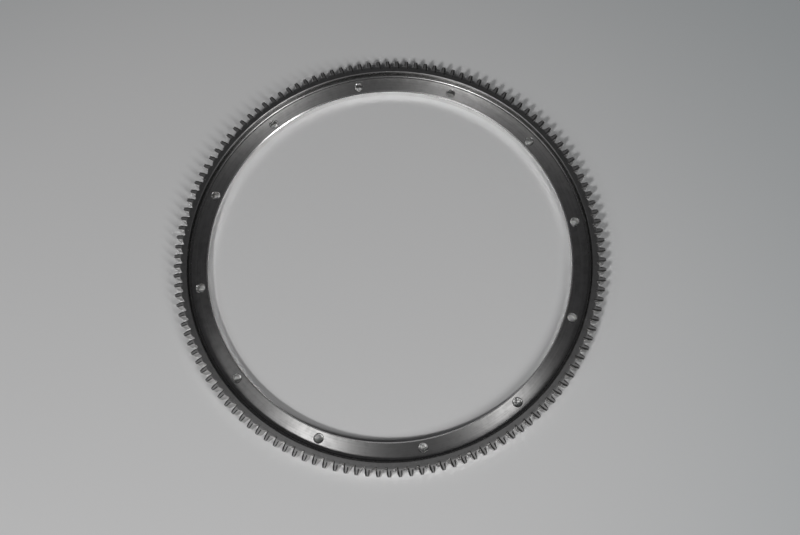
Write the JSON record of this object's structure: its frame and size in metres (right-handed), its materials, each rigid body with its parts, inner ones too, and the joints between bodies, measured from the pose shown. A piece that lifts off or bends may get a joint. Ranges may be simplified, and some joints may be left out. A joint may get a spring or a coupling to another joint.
{
  "type": "flywheel ring gear",
  "caption": "Steel starter ring gear with chamfered spur teeth outside and a thinner inner flange with bolt holes, which screws onto an engine flywheel.",
  "frame": {"origin": "on the ring's axis, in the plane of the plain underside", "axes": "+Z along the axis, from the underside towards the recessed side, where the teeth have their run-in cuts; +X through the centre of one bolt hole and one tooth gap"},
  "size_m": [0.5024, 0.5024, 0.02],
  "materials": {
    "steel": "bare turned and hobbed steel, lightly oiled, left uncoated"
  },
  "bodies": {
    "root": {"ring_gear": "steel"}
  },
  "joints": []
}
